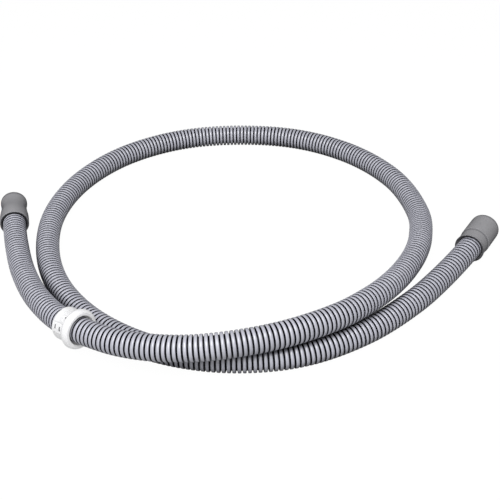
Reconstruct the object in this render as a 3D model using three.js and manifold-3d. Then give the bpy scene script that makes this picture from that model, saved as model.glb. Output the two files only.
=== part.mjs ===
// Drain hose of a washing machine, lying on the floor in one loop: a corrugated hose, a rubber cuff on each end
// and a plastic clip snapped round the hose. Millimetres, +Z up, floor at z = 0.
import * as THREE from 'three';
import * as BufferGeometryUtils from 'three/addons/utils/BufferGeometryUtils.js';
import Module from 'manifold-3d';

// hose
const HOSE_OD = 23.5;
const HOSE_WALL = 2.5;
const HOSE_SIDES = 12;
const HOSE_STEPS = 81;

// what the two cuffs share: the socket over the hose end
const SOCKET_DEPTH = 17;
const SOCKET_END_GAP = 0.5;
const GRIP_CLEARANCE = 0.4;
const MOUTH_GAP = 2.2;
const MOUTH_DEPTH = 9;
const LIP_WALL = 0.95;
const RIM_ROUNDING = 0.6;
const END_ROUNDING = 1.6;
const END_ROUNDING_LENGTH = 3.5;
const CUFF_SIDES = 48;

// cuff that goes on the machine
const MACHINE_CUFF_LENGTH = 45;
const MACHINE_CUFF_BORE = 21;
const MACHINE_COLLAR_TO = 10;
const MACHINE_NECK_AT = 31;
const MACHINE_NECK_WALL = 2.5;
const MACHINE_END_WALL = 3.4;

// cuff that goes on the waste pipe
const DRAIN_CUFF_LENGTH = 46;
const DRAIN_CUFF_BORE = 21.5;
const DRAIN_COLLAR_TO = 14;
const DRAIN_STEP = 0.8;
const DRAIN_END_STEP = 0.3;

// clip
const CLIP_STEP = 9;
const CLIP_FRONT = 10;
const CLIP_LENGTH = 22;
const CLIP_CLEARANCE = 0.4;
const CLIP_DRUM_WALL = 2.9;
const CLIP_FLANGE_LENGTH = 5.5;
const CLIP_FLARE_LENGTH = 5;
const CLIP_FLARE_EASE = 1;
const CLIP_FLANGE_DIAMETER = 36.4;
const CLIP_FACE_DIAMETER = 32.8;
const CLIP_TAPER_LENGTH = 4;
const CLIP_MOUTH_DIAMETER = 27.2;
const CLIP_MOUTH_DEPTH = 5;
const CLIP_EDGE_ROUNDING = 1.2;
const CLIP_SIDES = 56;
const LATCH_WIDTH = 9;
const LATCH_LENGTH = 12;
const LATCH_HEIGHT = 1.1;
const LATCH_ANGLE = 66;
const LATCH_PLACE = -4.5;
const LATCH_POCKET_DEPTH = 1.8;
const WINDOW_WIDTH = 3.2;
const WINDOW_LENGTH = 2.2;
const WINDOW_TURN = 2;
const WINDOW_AHEAD = 3.8;
const SLOT_WIDTH = 3.4;
const SLOT_LENGTH = 1.6;
const SLOT_TURN = -1;
const SLOT_AHEAD = -2.1;
const HOLE_WIDTH = 1.5;
const HOLE_ANGLE = 25;
const HOLE_PLACE = 0;

// values that follow from the ones above
const LOW = HOSE_OD / 2;
const GRIP_RADIUS = HOSE_OD / 2 + GRIP_CLEARANCE;
const MOUTH_RADIUS = HOSE_OD / 2 + MOUTH_GAP;
const COLLAR_RADIUS = MOUTH_RADIUS + LIP_WALL;
const CUFF_HEIGHT = COLLAR_RADIUS;
const HOSE_IN_CUFF = SOCKET_DEPTH - SOCKET_END_GAP;
const CLIP_BORE_RADIUS = HOSE_OD / 2 + CLIP_CLEARANCE;
const CLIP_DRUM_RADIUS = CLIP_BORE_RADIUS + CLIP_DRUM_WALL;

// middle line of the hose from the machine cuff to the drain cuff: the first and the last point lie inside
// the cuffs, and the second and the last but one at their rims
const ROUTE = [
  [-241.5, 32.9, CUFF_HEIGHT],
  [-238.1, 16.8, CUFF_HEIGHT],
  [-229.1, -19.4, 14.6],
  [-213.8, -67.6, 15.4],
  [-194.3, -110.8, 18.5],
  [-177.6, -137.6, 21.1],
  [-164.8, -154, 23.1],
  [-148.8, -170.4, 25.8],
  [-129.3, -184.7, 27.4],
  [-104.4, -198.8, 29.6],
  [-73.7, -208.8, 31.8],
  [-41.9, -213, 33.9],
  [-4, -210.2, 35.8],
  [40, -197.9, 36.1],
  [85.3, -173.4, 34.3],
  [110.5, -152, 32.2],
  [129.2, -131.7, 29.9],
  [150.9, -98.9, 24.9],
  [168.6, -64, 21.9],
  [179.6, -28.1, 18.2],
  [185.7, 22.9, 13.3],
  [170.6, 95.7, 12.1],
  [129.7, 157.1, 11.85],
  [69.7, 198.3, LOW],
  [-2.3, 212.8, LOW],
  [-74.3, 203.3, LOW],
  [-137.3, 166.3, LOW],
  [-180.8, 107.3, LOW],
  [-200.1, 37.3, LOW],
  [-194.8, -35.7, LOW],
  [-172.3, -96.7, LOW],
  [-133.1, -147.9, LOW],
  [-79.3, -185.2, LOW],
  [-17.3, -202.2, LOW],
  [47.7, -197.7, LOW],
  [106.7, -170.2, LOW],
  [156.7, -128.7, 11.8],
  [189.7, -91.7, 12.1],
  [224.9, -47.4, CUFF_HEIGHT],
  [234.1, -32.9, CUFF_HEIGHT],
].map((place) => new THREE.Vector3(...place));

// the ends of the hose stop short of the shoulders in the cuffs
const last = ROUTE.length - 1;
ROUTE[0].sub(ROUTE[1]).setLength(HOSE_IN_CUFF).add(ROUTE[1]);
ROUTE[last].sub(ROUTE[last - 1]).setLength(HOSE_IN_CUFF).add(ROUTE[last - 1]);

const path = new THREE.CatmullRomCurve3(ROUTE, false, 'centripetal');
path.arcLengthDivisions = 2000;

const wasm = await Module();
wasm.setup();

function polygon(radius, sides) {
  const corners = [];
  for (let i = 0; i < sides; i += 1) {
    const angle = (2 * Math.PI * i) / sides;
    corners.push(new THREE.Vector2(radius * Math.cos(angle), radius * Math.sin(angle)));
  }
  return corners;
}

function mesh(name, geometry, colour, roughness) {
  const material = new THREE.MeshStandardMaterial({ color: colour, roughness });
  const result = new THREE.Mesh(geometry, material);
  result.name = name;
  return result;
}

// turns a profile of [radius, distance along the axis] round the axis that runs from start towards end
function turned(profile, sides) {
  const outline = profile.getPoints(6);
  const points = outline.filter((point, i) => i === 0 || point.distanceTo(outline[i - 1]) > 1e-4);
  const first = points[0];
  if (points[points.length - 1].distanceTo(first) > 1e-4) {
    points.push(first.clone());
  }
  return new THREE.LatheGeometry(points, sides);
}

// lays a shape made along +Y at a place, with +Y along the axis and +Z as near to straight up as it goes
function laid(geometry, place, axis) {
  const side = new THREE.Vector3().crossVectors(axis, new THREE.Vector3(0, 0, 1)).normalize();
  const up = new THREE.Vector3().crossVectors(side, axis);
  const turn = new THREE.Matrix4().makeBasis(side, axis, up);
  return geometry.applyMatrix4(turn.setPosition(place));
}

function solid(geometry) {
  const bare = geometry.clone();
  bare.deleteAttribute('normal');
  bare.deleteAttribute('uv');
  const welded = BufferGeometryUtils.mergeVertices(bare, 1e-4);
  return new wasm.Manifold(new wasm.Mesh({
    numProp: 3,
    vertProperties: new Float32Array(welded.attributes.position.array),
    triVerts: new Uint32Array(welded.index.array),
  }));
}

function fromSolid(shape) {
  const { vertProperties, triVerts } = shape.getMesh();
  const geometry = new THREE.BufferGeometry();
  geometry.setAttribute('position', new THREE.BufferAttribute(new Float32Array(vertProperties), 3));
  geometry.setIndex(new THREE.BufferAttribute(new Uint32Array(triVerts), 1));
  geometry.computeVertexNormals();
  return geometry;
}

// hose: a round tube swept along the route, its ribs left plain
function hose() {
  const section = new THREE.Shape(polygon(HOSE_OD / 2, HOSE_SIDES));
  section.holes.push(new THREE.Path(polygon(HOSE_OD / 2 - HOSE_WALL, HOSE_SIDES).reverse()));
  return new THREE.ExtrudeGeometry(section, { steps: HOSE_STEPS, extrudePath: path });
}

// the inside of a cuff, from its free end back to the rim round the hose: bore, shoulder, grip and wide mouth
function cuffInside(profile, bore, length) {
  profile.lineTo(bore / 2, length);
  profile.lineTo(bore / 2, SOCKET_DEPTH);
  profile.lineTo(GRIP_RADIUS, SOCKET_DEPTH);
  profile.lineTo(GRIP_RADIUS, MOUTH_DEPTH);
  profile.lineTo(MOUTH_RADIUS, 0);
  profile.closePath();
}

function machineCuffProfile() {
  const neck = MACHINE_CUFF_BORE / 2 + MACHINE_NECK_WALL;
  const end = MACHINE_CUFF_BORE / 2 + MACHINE_END_WALL;
  const length = MACHINE_CUFF_LENGTH;
  const collarToNeck = (MACHINE_COLLAR_TO + MACHINE_NECK_AT) / 2;
  const neckToEnd = (MACHINE_NECK_AT + length) / 2;
  const profile = new THREE.Shape();
  profile.moveTo(MOUTH_RADIUS, 0);
  profile.lineTo(COLLAR_RADIUS - RIM_ROUNDING, 0);
  profile.quadraticCurveTo(COLLAR_RADIUS, 0, COLLAR_RADIUS, RIM_ROUNDING);
  profile.lineTo(COLLAR_RADIUS, MACHINE_COLLAR_TO);
  profile.bezierCurveTo(COLLAR_RADIUS, collarToNeck, neck, collarToNeck, neck, MACHINE_NECK_AT);
  profile.bezierCurveTo(neck, neckToEnd, end, neckToEnd, end, length - END_ROUNDING_LENGTH);
  profile.quadraticCurveTo(end, length, end - END_ROUNDING, length);
  cuffInside(profile, MACHINE_CUFF_BORE, length);
  return profile;
}

function drainCuffProfile() {
  const waist = COLLAR_RADIUS - DRAIN_STEP;
  const end = COLLAR_RADIUS - DRAIN_END_STEP;
  const length = DRAIN_CUFF_LENGTH;
  const middle = (DRAIN_COLLAR_TO + length) / 2;
  const profile = new THREE.Shape();
  profile.moveTo(MOUTH_RADIUS, 0);
  profile.lineTo(COLLAR_RADIUS - RIM_ROUNDING, 0);
  profile.quadraticCurveTo(COLLAR_RADIUS, 0, COLLAR_RADIUS, RIM_ROUNDING);
  profile.lineTo(COLLAR_RADIUS, DRAIN_COLLAR_TO);
  profile.lineTo(waist, DRAIN_COLLAR_TO + RIM_ROUNDING);
  profile.bezierCurveTo(waist, middle, end, middle, end, length - END_ROUNDING_LENGTH);
  profile.quadraticCurveTo(end, length, end - END_ROUNDING, length);
  cuffInside(profile, DRAIN_CUFF_BORE, length);
  return profile;
}

function cuff(profile, rim, end) {
  const axis = new THREE.Vector3().subVectors(end, rim).normalize();
  return laid(turned(profile, CUFF_SIDES), rim, axis);
}

// a block that stands on the clip at an angle from the top and a distance along the axis, half of it inside
function latchBlock(width, length, height, angle, along) {
  const block = new THREE.BoxGeometry(width, length, 2 * height);
  block.translate(0, along, CLIP_DRUM_RADIUS + LATCH_HEIGHT);
  block.rotateY(THREE.MathUtils.degToRad(angle));
  return solid(block);
}

// the raised pad of the snap latch, round as the drum below it, with a window and a slot cut into it, and a
// small hole beside it
function latch(body) {
  const low = LATCH_PLACE - LATCH_LENGTH / 2;
  const high = LATCH_PLACE + LATCH_LENGTH / 2;
  const inner = CLIP_BORE_RADIUS + LATCH_HEIGHT;
  const outer = CLIP_DRUM_RADIUS + LATCH_HEIGHT;
  const band = new THREE.Shape([
    new THREE.Vector2(inner, low),
    new THREE.Vector2(outer, low),
    new THREE.Vector2(outer, high),
    new THREE.Vector2(inner, high),
  ]);
  const reach = 2 * CLIP_DRUM_WALL;
  const pad = solid(turned(band, CLIP_SIDES))
    .intersect(latchBlock(LATCH_WIDTH, LATCH_LENGTH, reach, LATCH_ANGLE, LATCH_PLACE));
  const depth = LATCH_POCKET_DEPTH;
  const window = latchBlock(
    WINDOW_WIDTH, WINDOW_LENGTH, depth, LATCH_ANGLE + WINDOW_TURN, LATCH_PLACE + WINDOW_AHEAD,
  );
  const slot = latchBlock(
    SLOT_WIDTH, SLOT_LENGTH, depth, LATCH_ANGLE + SLOT_TURN, LATCH_PLACE + SLOT_AHEAD,
  );
  const hole = latchBlock(HOLE_WIDTH, HOLE_WIDTH, depth, HOLE_ANGLE, HOLE_PLACE);
  return body.add(pad).subtract(window).subtract(slot).subtract(hole);
}

// clip: a drum that grips one straight step of the hose, and flares out to a wider flange with a round mouth
function clip() {
  const front = CLIP_FRONT;
  const rear = front - CLIP_LENGTH;
  const step = front - CLIP_FLANGE_LENGTH;
  const flare = step - CLIP_FLARE_LENGTH;
  const taper = front - CLIP_TAPER_LENGTH;
  const flange = CLIP_FLANGE_DIAMETER / 2;
  const face = CLIP_FACE_DIAMETER / 2;
  const round = CLIP_EDGE_ROUNDING;
  const profile = new THREE.Shape();
  profile.moveTo(CLIP_BORE_RADIUS, rear);
  profile.lineTo(CLIP_DRUM_RADIUS - round, rear);
  profile.quadraticCurveTo(CLIP_DRUM_RADIUS, rear, CLIP_DRUM_RADIUS, rear + round);
  profile.lineTo(CLIP_DRUM_RADIUS, flare);
  profile.bezierCurveTo(
    CLIP_DRUM_RADIUS, flare + CLIP_FLARE_EASE, flange, step - CLIP_FLARE_EASE, flange, step,
  );
  profile.lineTo(flange, taper);
  profile.quadraticCurveTo(flange, front, face, front);
  profile.lineTo(CLIP_MOUTH_DIAMETER / 2, front);
  profile.lineTo(CLIP_MOUTH_DIAMETER / 2, front - CLIP_MOUTH_DEPTH);
  profile.lineTo(CLIP_BORE_RADIUS, front - CLIP_MOUTH_DEPTH);
  profile.closePath();
  const body = latch(solid(turned(profile, CLIP_SIDES)));
  const from = path.getPointAt(CLIP_STEP / HOSE_STEPS);
  const to = path.getPointAt((CLIP_STEP + 1) / HOSE_STEPS);
  const axis = new THREE.Vector3().subVectors(to, from).normalize();
  return laid(fromSolid(body), from.lerp(to, 0.5), axis);
}

const part = new THREE.Group();
part.name = 'drain_hose';
part.add(mesh('hose', hose(), 0xb9bac4, 0.45));
part.add(mesh('machine_end_cuff', cuff(machineCuffProfile(), ROUTE[1], ROUTE[0]), 0x8b8b8c, 0.75));
part.add(mesh('drain_end_cuff', cuff(drainCuffProfile(), ROUTE[last - 1], ROUTE[last]), 0x8b8b8c, 0.75));
part.add(mesh('hose_clip', clip(), 0xf4f4f2, 0.5));

export default part;
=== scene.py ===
"""Drain hose of a washing machine: a corrugated hose in a loop, two rubber cuffs and a white clip."""
import math

import bmesh
import bpy
import numpy as np
from mathutils import Matrix, Vector


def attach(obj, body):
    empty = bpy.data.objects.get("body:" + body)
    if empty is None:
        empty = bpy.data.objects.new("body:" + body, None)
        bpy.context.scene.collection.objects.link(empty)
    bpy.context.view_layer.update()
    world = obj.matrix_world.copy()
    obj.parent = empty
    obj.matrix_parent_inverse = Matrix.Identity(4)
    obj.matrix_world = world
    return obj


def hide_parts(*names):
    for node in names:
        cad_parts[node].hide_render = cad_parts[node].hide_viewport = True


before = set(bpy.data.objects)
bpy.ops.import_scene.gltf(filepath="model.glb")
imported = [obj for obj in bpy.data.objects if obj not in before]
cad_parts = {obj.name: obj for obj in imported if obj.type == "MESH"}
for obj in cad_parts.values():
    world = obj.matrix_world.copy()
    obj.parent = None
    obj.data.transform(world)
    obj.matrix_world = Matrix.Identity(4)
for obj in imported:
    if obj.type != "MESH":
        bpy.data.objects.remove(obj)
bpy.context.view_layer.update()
scene = bpy.context.scene
scene.view_settings.view_transform = "Standard"


# Camera: it looks from the front and from above, and is turned by a degree to the left.
camera_data = bpy.data.cameras.new("camera")
camera_data.sensor_width = 36.0
camera_data.lens = 67.22
camera_data.clip_end = 20.0
camera = bpy.data.objects.new("camera", camera_data)
camera.matrix_world = (
    Matrix.Translation((0.0078, -0.8099, 0.5385))
    @ Matrix.Rotation(math.radians(55.725), 4, "X")
    @ Matrix.Rotation(math.radians(-1.273), 4, "Z")
)
scene.collection.objects.link(camera)
scene.camera = camera


# Hose: a grey polypropylene tube, blown in a mould that gives it ribs over its whole length. Rings of points
# follow the route of the solid, seven to a rib, so that each rib has a nearly flat crown and a narrow deep
# groove next to it. The bore is a plain wall inside. Both ends sit in the cuffs, which lie on their lips.
HOSE_DIAMETER = 0.0235
LYING = HOSE_DIAMETER / 2
CUFF_HEIGHT = 0.0149
HOSE_IN_CUFF = 0.0165
LINE_STEPS = 60
DIRECTION_REACH = 0.002
RIB_COUNT = 451
RIB_SIDES = 28
BORE_SIDES = 14
BORE_RADIUS = 0.0090
BORE_RINGS = 150
# place along one rib from 0 to 1, radius, and how deep in the groove the ring lies from 0 to 1
RIB_RINGS = [
    (0.00, 0.00950, 1.0),
    (0.24, 0.00950, 1.0),
    (0.28, 0.01120, 0.5),
    (0.35, 0.01164, 0.05),
    (0.62, 0.01175, 0.0),
    (0.89, 0.01164, 0.05),
    (0.96, 0.01120, 0.5),
]
ROUTE = [
    (-0.2415, 0.0329, CUFF_HEIGHT),
    (-0.2381, 0.0168, CUFF_HEIGHT),
    (-0.2291, -0.0194, 0.0146),
    (-0.2138, -0.0676, 0.0154),
    (-0.1943, -0.1108, 0.0185),
    (-0.1776, -0.1376, 0.0211),
    (-0.1648, -0.1540, 0.0231),
    (-0.1488, -0.1704, 0.0258),
    (-0.1293, -0.1847, 0.0274),
    (-0.1044, -0.1988, 0.0296),
    (-0.0737, -0.2088, 0.0318),
    (-0.0419, -0.2130, 0.0339),
    (-0.0040, -0.2102, 0.0358),
    (0.0400, -0.1979, 0.0361),
    (0.0853, -0.1734, 0.0343),
    (0.1105, -0.1520, 0.0322),
    (0.1292, -0.1317, 0.0299),
    (0.1509, -0.0989, 0.0249),
    (0.1686, -0.0640, 0.0219),
    (0.1796, -0.0281, 0.0182),
    (0.1857, 0.0229, 0.0133),
    (0.1706, 0.0957, 0.0121),
    (0.1297, 0.1571, 0.01185),
    (0.0697, 0.1983, LYING),
    (-0.0023, 0.2128, LYING),
    (-0.0743, 0.2033, LYING),
    (-0.1373, 0.1663, LYING),
    (-0.1808, 0.1073, LYING),
    (-0.2001, 0.0373, LYING),
    (-0.1948, -0.0357, LYING),
    (-0.1723, -0.0967, LYING),
    (-0.1331, -0.1479, LYING),
    (-0.0793, -0.1852, LYING),
    (-0.0173, -0.2022, LYING),
    (0.0477, -0.1977, LYING),
    (0.1067, -0.1702, LYING),
    (0.1567, -0.1287, 0.0118),
    (0.1897, -0.0917, 0.0121),
    (0.2249, -0.0474, CUFF_HEIGHT),
    (0.2341, -0.0329, CUFF_HEIGHT),
]


def smooth_line(points, per_span):
    """A centripetal Catmull-Rom curve through the points."""
    rows = [2 * points[0] - points[1], *points, 2 * points[-1] - points[-2]]
    line = []
    for a, b, c, d in zip(rows, rows[1:], rows[2:], rows[3:]):
        ab, bc, cd = (max((q - p).length ** 0.5, 1e-6) for p, q in ((a, b), (b, c), (c, d)))
        start = ((b - a) / ab - (c - a) / (ab + bc) + (c - b) / bc) * bc
        end = ((c - b) / bc - (d - b) / (bc + cd) + (d - c) / cd) * bc
        for i in range(per_span):
            t = i / per_span
            square, cube = -3 * b + 3 * c - 2 * start - end, 2 * b - 2 * c + start + end
            line.append(b + start * t + square * t**2 + cube * t**3)
    return np.array([*line, points[-1]])


route = [Vector(p) for p in ROUTE]
machine_rim, drain_rim = route[1].copy(), route[-2].copy()
machine_axis = (route[0] - route[1]).normalized()
drain_axis = (route[-1] - route[-2]).normalized()
route[0] = machine_rim + machine_axis * HOSE_IN_CUFF
route[-1] = drain_rim + drain_axis * HOSE_IN_CUFF
line = smooth_line(route, LINE_STEPS)
steps = np.linalg.norm(np.diff(line, axis=0), axis=1)
run = np.concatenate([[0.0], np.cumsum(steps)])
hose_length = float(run[-1])
pitch = hose_length / RIB_COUNT


def frames_at(places):
    """Centre, side and up vector of the hose at distances along it, with no twist along the way."""
    centres = np.stack([np.interp(places, run, line[:, k]) for k in range(3)], axis=1)
    ahead = np.stack([np.interp(places + DIRECTION_REACH, run, line[:, k]) for k in range(3)], axis=1)
    behind = np.stack([np.interp(places - DIRECTION_REACH, run, line[:, k]) for k in range(3)], axis=1)
    tangents = ahead - behind
    tangents /= np.linalg.norm(tangents, axis=1)[:, None]
    # the hose lies flat, so straight up is never far from square to it
    ups = np.array([0.0, 0.0, 1.0]) - tangents * tangents[:, 2:3]
    ups /= np.linalg.norm(ups, axis=1)[:, None]
    return centres, np.cross(ups, tangents), ups


def tube_points(places, radii, sides):
    """The points of one ring round the hose at each place, and the middles of the rings."""
    centres, across, ups = frames_at(places)
    angles = (2 * math.pi * np.arange(sides) / sides)[None, :, None]
    circle = np.cos(angles) * ups[:, None, :] + np.sin(angles) * across[:, None, :]
    return (centres[:, None, :] + radii[:, None, None] * circle).reshape(-1, 3), centres


ring_places, ring_radii, ring_depths = [], [], []
for rib in range(RIB_COUNT):
    for place, radius, depth in RIB_RINGS:
        ring_places.append((rib + place) * pitch)
        ring_radii.append(radius)
        ring_depths.append(depth)
outer, outer_centres = tube_points(np.array(ring_places), np.array(ring_radii), RIB_SIDES)
bore_places = np.linspace(ring_places[0], ring_places[-1], BORE_RINGS)
bore, _ = tube_points(bore_places, np.full(BORE_RINGS, BORE_RADIUS), BORE_SIDES)

hose_faces = []
for ring in range(len(ring_places) - 1):
    for side in range(RIB_SIDES):
        a = ring * RIB_SIDES + side
        b = ring * RIB_SIDES + (side + 1) % RIB_SIDES
        hose_faces.append((a, a + RIB_SIDES, b + RIB_SIDES, b))
bore_start = len(outer)
for ring in range(BORE_RINGS - 1):
    for side in range(BORE_SIDES):
        a = bore_start + ring * BORE_SIDES + side
        b = bore_start + ring * BORE_SIDES + (side + 1) % BORE_SIDES
        hose_faces.append((a, b, b + BORE_SIDES, a + BORE_SIDES))
outer_last = len(outer) - RIB_SIDES
bore_last = bore_start + len(bore) - BORE_SIDES
for side in range(BORE_SIDES):
    after = (side + 1) % BORE_SIDES
    out = [2 * side, 2 * side + 1, (2 * side + 2) % RIB_SIDES]
    hose_faces.append((out[0], out[1], out[2], bore_start + after, bore_start + side))
    far = [outer_last + k for k in out]
    hose_faces.append((far[2], far[1], far[0], bore_last + side, bore_last + after))

hose_mesh = bpy.data.meshes.new("corrugated_hose")
hose_mesh.from_pydata(np.concatenate([outer, bore]).tolist(), [], hose_faces)
hose_mesh.polygons.foreach_set("use_smooth", [True] * len(hose_faces))
depth_layer = hose_mesh.attributes.new("groove", "FLOAT", "POINT")
depths = np.concatenate([np.repeat(ring_depths, RIB_SIDES), np.ones(len(bore))])
depth_layer.data.foreach_set("value", depths)
hose = bpy.data.objects.new("corrugated_hose", hose_mesh)
scene.collection.objects.link(hose)


def multiplied(nodes, links, first, second):
    """The product of two colours."""
    node = nodes.new("ShaderNodeMix")
    node.data_type = "RGBA"
    node.blend_type = "MULTIPLY"
    node.inputs["Factor"].default_value = 1.0
    links.new(first, node.inputs["A"])
    links.new(second, node.inputs["B"])
    return node.outputs["Result"]


# shader group for every piece: fine unevenness of a moulded surface, painted shade where parts meet, and
# painted shade on rims
grain = bpy.data.node_groups.new("moulded_grain", "ShaderNodeTree")
grain.interface.new_socket("Size", in_out="INPUT", socket_type="NodeSocketFloat")
grain.interface.new_socket("Height", in_out="INPUT", socket_type="NodeSocketFloat")
grain.interface.new_socket("Reach", in_out="INPUT", socket_type="NodeSocketFloat")
grain.interface.new_socket("Rim", in_out="INPUT", socket_type="NodeSocketFloat")
grain.interface.new_socket("Cloud", in_out="OUTPUT", socket_type="NodeSocketFloat")
grain.interface.new_socket("Shade", in_out="OUTPUT", socket_type="NodeSocketColor")
grain.interface.new_socket("Normal", in_out="OUTPUT", socket_type="NodeSocketVector")
g_in = grain.nodes.new("NodeGroupInput")
g_out = grain.nodes.new("NodeGroupOutput")
g_place = grain.nodes.new("ShaderNodeTexCoord")
g_fine = grain.nodes.new("ShaderNodeTexNoise")
g_fine.inputs["Detail"].default_value = 3.0
g_cloud = grain.nodes.new("ShaderNodeTexNoise")
g_cloud.inputs["Scale"].default_value = 38.0
g_cloud.inputs["Detail"].default_value = 4.0
# painted shade: the colour darkens where other surfaces are near, in hollows and between parts
g_near = grain.nodes.new("ShaderNodeAmbientOcclusion")
g_shade = grain.nodes.new("ShaderNodeValToRGB")
g_shade.color_ramp.elements[0].position = 0.16
g_shade.color_ramp.elements[0].color = (0.09, 0.09, 0.10, 1.0)
g_shade.color_ramp.elements[1].position = 0.75
# painted shade: the colour darkens on rims that turn away from the camera
g_rim_shade = grain.nodes.new("ShaderNodeValToRGB")
g_rim_shade.color_ramp.elements[0].position = 0.7
g_rim_shade.color_ramp.elements[0].color = (1.0, 1.0, 1.0, 1.0)
g_rim_shade.color_ramp.elements[1].color = (0.35, 0.35, 0.37, 1.0)
g_bump = grain.nodes.new("ShaderNodeBump")
g_bump.inputs["Distance"].default_value = 0.0002
grain.links.new(g_place.outputs["Object"], g_fine.inputs["Vector"])
grain.links.new(g_place.outputs["Object"], g_cloud.inputs["Vector"])
grain.links.new(g_in.outputs["Size"], g_fine.inputs["Scale"])
grain.links.new(g_in.outputs["Height"], g_bump.inputs["Strength"])
grain.links.new(g_fine.outputs["Fac"], g_bump.inputs["Height"])
grain.links.new(g_cloud.outputs["Fac"], g_out.inputs["Cloud"])
grain.links.new(g_in.outputs["Reach"], g_near.inputs["Distance"])
grain.links.new(g_near.outputs["AO"], g_shade.inputs["Fac"])
grain.links.new(g_in.outputs["Rim"], g_rim_shade.inputs["Fac"])
hollow_and_rim_shade = multiplied(grain.nodes, grain.links, g_shade.outputs["Color"], g_rim_shade.outputs["Color"])
grain.links.new(hollow_and_rim_shade, g_out.inputs["Shade"])
grain.links.new(g_bump.outputs["Normal"], g_out.inputs["Normal"])


def moulded_material(name, size, height, reach, rim):
    """A material with its shader, its grain, and how strong its painted shade is where it turns from the
    camera.
    """
    material = bpy.data.materials.new(name)
    material.use_nodes = True
    nodes, links = material.node_tree.nodes, material.node_tree.links
    shader = nodes["Principled BSDF"]
    surface = nodes.new("ShaderNodeGroup")
    surface.node_tree = grain
    surface.inputs["Size"].default_value = size
    surface.inputs["Height"].default_value = height
    surface.inputs["Reach"].default_value = reach
    # painted shade on rims: the more a surface turns away from the camera, the darker its colour
    turned_away = nodes.new("ShaderNodeLayerWeight")
    turned_away.inputs["Blend"].default_value = 0.5
    rim_shade_amount = nodes.new("ShaderNodeMath")
    rim_shade_amount.operation = "MULTIPLY"
    rim_shade_amount.inputs[1].default_value = rim
    links.new(turned_away.outputs["Facing"], rim_shade_amount.inputs[0])
    links.new(rim_shade_amount.outputs["Value"], surface.inputs["Rim"])
    links.new(surface.outputs["Normal"], shader.inputs["Normal"])
    return material, nodes, links, shader, surface


def ramp(nodes, stops):
    """Colours that change from one (position, colour) stop to the next."""
    node = nodes.new("ShaderNodeValToRGB")
    elements = node.color_ramp.elements
    while len(elements) < len(stops):
        elements.new(0.5)
    for element, (position, colour) in zip(elements, stops):
        element.position = position
        element.color = (*colour, 1.0)
    return node


# light grey with a touch of violet, glossy on top of the crowns, with painted shade that makes the grooves
# nearly black
material, nodes, links, shader, surface = moulded_material(
    "hose_polypropylene", size=900.0, height=0.12, reach=0.035, rim=1.0
)
shader.inputs["Roughness"].default_value = 0.27
depth = nodes.new("ShaderNodeAttribute")
depth.attribute_name = "groove"
crown = ramp(nodes, [(0.25, (0.39, 0.394, 0.447)), (0.75, (0.45, 0.454, 0.511))])
# painted shade: the groove walls and floors are coloured nearly black, as deep grooves lie in shadow
groove = ramp(nodes, [(0.08, (1.0, 1.0, 1.0)), (0.36, (0.4, 0.4, 0.42)), (0.6, (0.01, 0.01, 0.018))])
gloss = ramp(nodes, [(0.0, (1.0, 1.0, 1.0)), (0.015, (0.95, 0.95, 0.95)), (0.045, (0.25, 0.25, 0.25))])
links.new(surface.outputs["Cloud"], crown.inputs["Fac"])
links.new(depth.outputs["Fac"], groove.inputs["Fac"])
links.new(depth.outputs["Fac"], gloss.inputs["Fac"])
links.new(gloss.outputs["Color"], shader.inputs["Specular IOR Level"])
# the painted shade of the grain group darkens the hose between the runs, in the grooves and on its rims
ribbed = multiplied(nodes, links, crown.outputs["Color"], groove.outputs["Color"])
links.new(multiplied(nodes, links, ribbed, surface.outputs["Shade"]), shader.inputs["Base Color"])
hose_mesh.materials.append(material)
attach(hose, "root")
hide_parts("hose")


# Cuff on the machine end: a waisted sleeve of grey rubber, moulded in one piece, that slips over the outlet
# of the machine. A thin lip stands clear round the hose, and the grip behind it holds the hose. The cuff is
# turned from its outline, as the other cuff and the clip are.
LIP_RADIUS = CUFF_HEIGHT
MOUTH_RADIUS = 0.0143
GRIP_RADIUS = 0.01215
SOCKET_DEPTH = 0.0170
CUFF_SIDES = 96
ROUNDING_STEPS = 6
SHARP_ANGLE = math.radians(35.0)
MACHINE_LENGTH = 0.0450
MACHINE_BORE_RADIUS = 0.0105


def turned(profile, place, axis, sides):
    """A closed profile of (radius, distance) spun round an axis that starts at place."""
    side = axis.cross(Vector((0, 0, 1))).normalized()
    up = side.cross(axis)
    turn = Matrix((side, axis, up)).transposed().to_4x4()
    turn.translation = place
    shape = bmesh.new()
    ring = [shape.verts.new((0.0, distance, radius)) for radius, distance in profile]
    edges = [shape.edges.new((a, b)) for a, b in zip(ring, ring[1:] + ring[:1])]
    bmesh.ops.spin(
        shape,
        geom=ring + edges,
        cent=(0, 0, 0),
        axis=(0, 1, 0),
        angle=2 * math.pi,
        steps=sides,
        use_merge=True,
    )
    bmesh.ops.remove_doubles(shape, verts=shape.verts, dist=1e-6)
    bmesh.ops.recalc_face_normals(shape, faces=shape.faces)
    return shape, turn


def rounded_outline(corners):
    """The outline through (radius, distance, rounding) corners, where two roundings share a short side."""
    outline = []
    for i, (r, d, rounding) in enumerate(corners):
        here = Vector((r, d))
        if rounding == 0:
            outline.append(tuple(here))
            continue
        ends = []
        for next_r, next_d, next_rounding in (corners[i - 1], corners[(i + 1) % len(corners)]):
            side = Vector((next_r, next_d)) - here
            reach = min(rounding, side.length * rounding / (rounding + next_rounding))
            ends.append(here + side.normalized() * reach)
        start, end = ends
        for k in range(ROUNDING_STEPS + 1):
            t = k / ROUNDING_STEPS
            outline.append(tuple((1 - t) ** 2 * start + 2 * t * (1 - t) * here + t**2 * end))
    return outline


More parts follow.
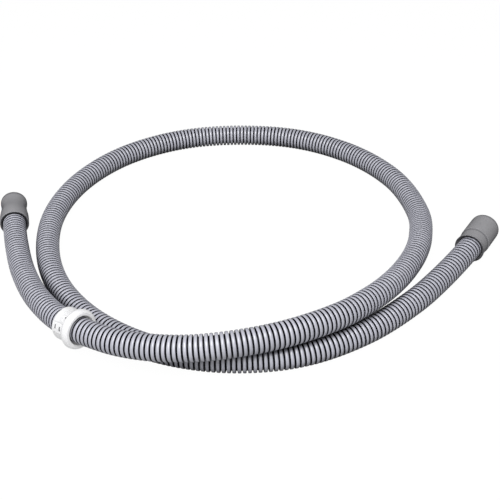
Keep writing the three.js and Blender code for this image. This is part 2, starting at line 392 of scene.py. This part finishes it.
def finished(name, shape, turn, material):
    """Puts a finished shape into the scene with its material and smooth shading."""
    shape.transform(turn)
    mesh = bpy.data.meshes.new(name)
    shape.to_mesh(mesh)
    shape.free()
    mesh.polygons.foreach_set("use_smooth", [True] * len(mesh.polygons))
    mesh.set_sharp_from_angle(angle=SHARP_ANGLE)
    mesh.materials.append(material)
    piece = bpy.data.objects.new(name, mesh)
    scene.collection.objects.link(piece)
    return piece


def shaded_between(shape, zones):
    """Marks the points of a round piece in each (low, high, radius, amount) zone, to get painted shade
    there.
    """
    layer = shape.verts.layers.float.new("marked_shade")
    for vert in shape.verts:
        radius = math.hypot(vert.co.x, vert.co.z)
        for low, high, outer, amount in zones:
            if low < vert.co.y < high and radius < outer:
                vert[layer] = amount


# matte mid-grey rubber, slightly cloudy, with painted shade in the mouth, in the step and on the end edge
rubber, nodes, links, shader, surface = moulded_material(
    "cuff_rubber", size=1600.0, height=0.25, reach=0.005, rim=1.0
)
shader.inputs["Roughness"].default_value = 0.62
shader.inputs["Specular IOR Level"].default_value = 0.35
tone = ramp(nodes, [(0.3, (0.24, 0.238, 0.25)), (0.7, (0.29, 0.288, 0.3))])
marked = nodes.new("ShaderNodeAttribute")
marked.attribute_name = "marked_shade"
# painted shade: marked points are darkened where the lip face, the step and the end edge lie in shadow
marked_shade = ramp(nodes, [(0.0, (1.0, 1.0, 1.0)), (1.0, (0.28, 0.28, 0.3))])
links.new(surface.outputs["Cloud"], tone.inputs["Fac"])
links.new(marked.outputs["Fac"], marked_shade.inputs["Fac"])
shaded_tone = multiplied(nodes, links, tone.outputs["Color"], marked_shade.outputs["Color"])
# the painted shade of the grain group darkens the rubber in hollows and on its rims as well
links.new(multiplied(nodes, links, shaded_tone, surface.outputs["Shade"]), shader.inputs["Base Color"])

machine_profile = rounded_outline(
    [
        (MOUTH_RADIUS, 0.0000, 0.0002),
        (LIP_RADIUS, 0.0000, 0.0004),
        (LIP_RADIUS, 0.0110, 0.0060),
        (0.0143, 0.0170, 0.0040),
        (0.0133, 0.0250, 0.0040),
        (0.0130, 0.0310, 0.0030),
        (0.0134, 0.0370, 0.0030),
        (0.0139, 0.0405, 0.0014),
        (0.0137, 0.0434, 0.0012),
        (0.0125, MACHINE_LENGTH, 0.0008),
        (MACHINE_BORE_RADIUS, MACHINE_LENGTH, 0.0006),
        (MACHINE_BORE_RADIUS, SOCKET_DEPTH, 0.0),
        (GRIP_RADIUS, SOCKET_DEPTH, 0.0),
        (GRIP_RADIUS, 0.0018, 0.0003),
    ]
)
shape, turn = turned(machine_profile, machine_rim, machine_axis, CUFF_SIDES)
# painted shade on the lip face in the mouth and on the edge of the wide end
shaded_between(shape, [(-0.001, 0.004, 0.01465, 0.7), (0.0398, 0.0460, 0.0145, 0.5)])
machine_cuff = finished("machine_cuff", shape, turn, rubber)
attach(machine_cuff, "root")
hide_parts("machine_end_cuff")


# Cuff on the drain end: a sleeve of the same grey rubber, moulded in one piece, that slips over the waste
# pipe. It has a thin lip, a shallow step further on and a wide rounded end, and grips the hose as the other
# cuff does.
DRAIN_LENGTH = 0.0460
DRAIN_BORE_RADIUS = 0.01075
drain_profile = rounded_outline(
    [
        (0.0146, 0.0000, 0.0001),
        (LIP_RADIUS, 0.0000, 0.0002),
        (LIP_RADIUS, 0.0012, 0.0004),
        (0.0144, 0.0020, 0.0006),
        (0.0143, 0.0130, 0.0005),
        (0.0137, 0.0138, 0.0002),
        (0.0138, 0.0148, 0.0002),
        (LIP_RADIUS, 0.0152, 0.0003),
        (LIP_RADIUS, 0.0300, 0.0060),
        (LIP_RADIUS, 0.0420, 0.0014),
        (0.0146, 0.0445, 0.0010),
        (0.0131, DRAIN_LENGTH, 0.0008),
        (DRAIN_BORE_RADIUS, DRAIN_LENGTH, 0.0006),
        (DRAIN_BORE_RADIUS, SOCKET_DEPTH, 0.0),
        (GRIP_RADIUS, SOCKET_DEPTH, 0.0),
        (GRIP_RADIUS, 0.0018, 0.0003),
    ]
)
shape, turn = turned(drain_profile, drain_rim, drain_axis, CUFF_SIDES)
# painted shade on the lip face in the mouth, in the step and on the edge of the wide end
shaded_between(
    shape, [(-0.001, 0.0015, 0.01475, 1.0), (0.0132, 0.0151, 0.0147, 0.55), (0.0414, 0.0470, 0.0150, 0.35)]
)
drain_cuff = finished("drain_cuff", shape, turn, rubber)
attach(drain_cuff, "root")
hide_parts("drain_end_cuff")


# Clip: a collar of white plastic, moulded in one piece and snapped round the hose. A drum grips the hose and
# flares out to a wide tapering flange. A raised latch pad with a window and a slot stands on the side of the
# drum, next to a small square hole, and fine grip ribs run along the drum at the top.
CLIP_PLACE = Vector((-0.14744, -0.17081, 0.02566))
CLIP_AXIS = Vector((0.75726, -0.64704, 0.08881)).normalized()
DRUM_RADIUS = 0.01505
DRUM_END = -0.0120
FLANGE_RADIUS = 0.0182
CLIP_MOUTH_RADIUS = 0.0136
CLIP_MOUTH_END = 0.0100
CLIP_SIDES = 112
HOLE_ANGLE = 25.0
PAD_RADIUS = 0.01615
PAD_FOOT_RADIUS = 0.0140
PAD_START_ANGLE = 49.5
PAD_TURN_ANGLE = 33.0
PAD_PLACES = (0.0015, 0.0004, -0.0018, -0.0058, -0.0074, -0.0105)
CUT_DEPTH = 0.0018
GRIP_RIB_SIZE = (0.0006, 0.0060, 0.0004)
GRIP_RIB_MIDDLE = -0.0026
GRIP_RIB_ANGLES = range(-70, 46, 5)
clip_profile = rounded_outline(
    [
        (GRIP_RADIUS, DRUM_END, 0.0004),
        (DRUM_RADIUS, DRUM_END, 0.0011),
        (DRUM_RADIUS, -0.0007, 0.0),
        (0.0153, 0.0006, 0.0),
        (0.0162, 0.0018, 0.0006),
        (FLANGE_RADIUS, 0.0044, 0.0010),
        (FLANGE_RADIUS, 0.0060, 0.0008),
        (0.0178, 0.0082, 0.0008),
        (0.0168, 0.0094, 0.0003),
        (0.0164, 0.0094, 0.0002),
        (0.0163, CLIP_MOUTH_END, 0.0003),
        (CLIP_MOUTH_RADIUS, CLIP_MOUTH_END, 0.0005),
        (CLIP_MOUTH_RADIUS, 0.0050, 0.0),
        (GRIP_RADIUS, 0.0050, 0.0004),
    ]
)


def sunk(shape, faces, depth):
    """Pushes some faces of a round body straight in, with walls round them."""
    moved = bmesh.ops.extrude_face_region(shape, geom=faces)["geom"]
    middle = sum((face.calc_center_median() for face in faces), Vector()) / len(faces)
    inward = Vector((-middle.x, 0.0, -middle.z)).normalized() * depth
    bmesh.ops.translate(shape, vec=inward, verts=[v for v in moved if isinstance(v, bmesh.types.BMVert)])
    bmesh.ops.delete(shape, geom=faces, context="FACES_ONLY")


def faces_near(shape, angle, reach, low, high, radius):
    """Faces of a round body that look outward between two distances and near an angle from the top."""
    found = []
    for face in shape.faces:
        middle = face.calc_center_median()
        outside = math.hypot(middle.x, middle.z) > radius
        turned_by = math.degrees(math.atan2(middle.x, middle.z))
        if outside and abs(turned_by - angle) < reach and low < middle.y < high:
            found.append(face)
    return found


# white plastic that lets a little light through it, and a painted glow that keeps its shaded side pale
white, nodes, links, shader, surface = moulded_material(
    "clip_plastic", size=1200.0, height=0.08, reach=0.004, rim=0.8
)
shader.inputs["Roughness"].default_value = 0.4
shader.inputs["Subsurface Weight"].default_value = 0.15
shader.inputs["Subsurface Radius"].default_value = (0.003, 0.003, 0.003)
shader.inputs["Subsurface Scale"].default_value = 0.6
# painted light: the plastic glows faintly though it is no lamp, and the painted shade darkens the glow in
# the mouth
links.new(surface.outputs["Shade"], shader.inputs["Emission Color"])
shader.inputs["Emission Strength"].default_value = 0.28
tone = ramp(nodes, [(0.3, (0.52, 0.52, 0.535)), (0.7, (0.56, 0.56, 0.57))])
links.new(surface.outputs["Cloud"], tone.inputs["Fac"])
# the painted shade of the grain group darkens the white in hollows and on rims
shaded_white = multiplied(nodes, links, tone.outputs["Color"], surface.outputs["Shade"])
links.new(shaded_white, shader.inputs["Base Color"])
shape, turn = turned(clip_profile, CLIP_PLACE, CLIP_AXIS, CLIP_SIDES)
hole = faces_near(shape, HOLE_ANGLE, reach=3.3, low=-0.0006, high=0.0004, radius=0.0149)
sunk(shape, hole, depth=0.0015)

# latch pad: part of a turn of a flat outline, with points at the edges of the window and of the slot
pad = bmesh.new()
pad_outline = [(PAD_FOOT_RADIUS, PAD_PLACES[-1]), (PAD_FOOT_RADIUS, PAD_PLACES[0])]
pad_outline += [(PAD_RADIUS, along) for along in PAD_PLACES]
ring = [pad.verts.new((0.0, distance, radius)) for radius, distance in pad_outline]
end_face = pad.faces.new(ring)
start_turn = Matrix.Rotation(math.radians(PAD_START_ANGLE), 3, "Y")
bmesh.ops.rotate(pad, verts=ring, cent=(0, 0, 0), matrix=start_turn)
bmesh.ops.spin(
    pad,
    geom=[end_face],
    cent=(0, 0, 0),
    axis=(0, 1, 0),
    angle=math.radians(PAD_TURN_ANGLE),
    steps=12,
)
bmesh.ops.recalc_face_normals(pad, faces=pad.faces)
window = faces_near(pad, 68.0, reach=6.2, low=-0.0016, high=0.0002, radius=0.0160)
sunk(pad, window, depth=CUT_DEPTH)
slot = faces_near(pad, 65.0, reach=6.6, low=-0.0072, high=-0.0060, radius=0.0160)
sunk(pad, slot, depth=CUT_DEPTH)

# grip ribs: thin bars half sunk in the drum, with a gap at the hole
for angle in GRIP_RIB_ANGLES:
    if abs(angle - HOLE_ANGLE) > 4:
        made = bmesh.ops.create_cube(pad, size=1.0)["verts"]
        bmesh.ops.scale(pad, vec=GRIP_RIB_SIZE, verts=made)
        bmesh.ops.translate(pad, vec=(0.0, GRIP_RIB_MIDDLE, DRUM_RADIUS), verts=made)
        rib_turn = Matrix.Rotation(math.radians(angle), 3, "Y")
        bmesh.ops.rotate(pad, verts=made, cent=(0, 0, 0), matrix=rib_turn)
spare = bpy.data.meshes.new("clip_pad")
pad.to_mesh(spare)
pad.free()
shape.from_mesh(spare)
bpy.data.meshes.remove(spare)
clip = finished("snap_clip", shape, turn, white)
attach(clip, "root")
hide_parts("hose_clip")


# Floor, light and surroundings: a white studio. To the camera the floor glows white, to the object it is a
# matte grey that gives back little light, and two soft boxes shine from above and from the front.
floor_shape = bmesh.new()
bmesh.ops.create_grid(floor_shape, x_segments=1, y_segments=1, size=4.0)
floor_mesh = bpy.data.meshes.new("floor")
floor_shape.to_mesh(floor_mesh)
floor_shape.free()
floor = bpy.data.objects.new("floor", floor_mesh)
floor_material = bpy.data.materials.new("floor_white")
floor_material.use_nodes = True
nodes, links = floor_material.node_tree.nodes, floor_material.node_tree.links
matte = nodes["Principled BSDF"]
matte.inputs["Base Color"].default_value = (0.3, 0.3, 0.3, 1.0)
matte.inputs["Roughness"].default_value = 0.9
matte.inputs["Specular IOR Level"].default_value = 0.0
glow = nodes.new("ShaderNodeEmission")
glow.inputs["Strength"].default_value = 1.09
seen = nodes.new("ShaderNodeLightPath")
share = nodes.new("ShaderNodeMath")
share.operation = "MULTIPLY"
share.inputs[1].default_value = 0.9
both = nodes.new("ShaderNodeMixShader")
links.new(seen.outputs["Is Camera Ray"], share.inputs[0])
links.new(share.outputs["Value"], both.inputs["Fac"])
links.new(matte.outputs["BSDF"], both.inputs[1])
links.new(glow.outputs["Emission"], both.inputs[2])
links.new(both.outputs["Shader"], nodes["Material Output"].inputs["Surface"])
floor_mesh.materials.append(floor_material)
scene.collection.objects.link(floor)

world = bpy.data.worlds.new("studio")
world.use_nodes = True
nodes, links = world.node_tree.nodes, world.node_tree.links
sky = nodes["Background"]
seen = nodes.new("ShaderNodeLightPath")
strength = nodes.new("ShaderNodeMapRange")
strength.inputs["To Min"].default_value = 0.1
strength.inputs["To Max"].default_value = 1.0
links.new(seen.outputs["Is Camera Ray"], strength.inputs["Value"])
links.new(strength.outputs["Result"], sky.inputs["Strength"])
sky.inputs["Color"].default_value = (1.0, 1.0, 1.0, 1.0)
scene.world = world


def softbox(name, place, aim, size, power):
    """A soft lamp of the studio that shines from a place towards another."""
    data = bpy.data.lights.new(name, "AREA")
    data.shape = "RECTANGLE"
    data.size, data.size_y = size
    data.energy = power
    lamp = bpy.data.objects.new(name, data)
    looking = (Vector(aim) - Vector(place)).to_track_quat("-Z", "Y").to_matrix().to_4x4()
    lamp.matrix_world = Matrix.Translation(place) @ looking
    scene.collection.objects.link(lamp)


softbox("key", (-0.15, -0.75, 1.42), (0.0, -0.05, 0.0), (1.2, 1.0), 33.0)
softbox("front", (-0.3, -1.6, 0.7), (0.0, -0.1, 0.0), (1.6, 0.6), 8.0)
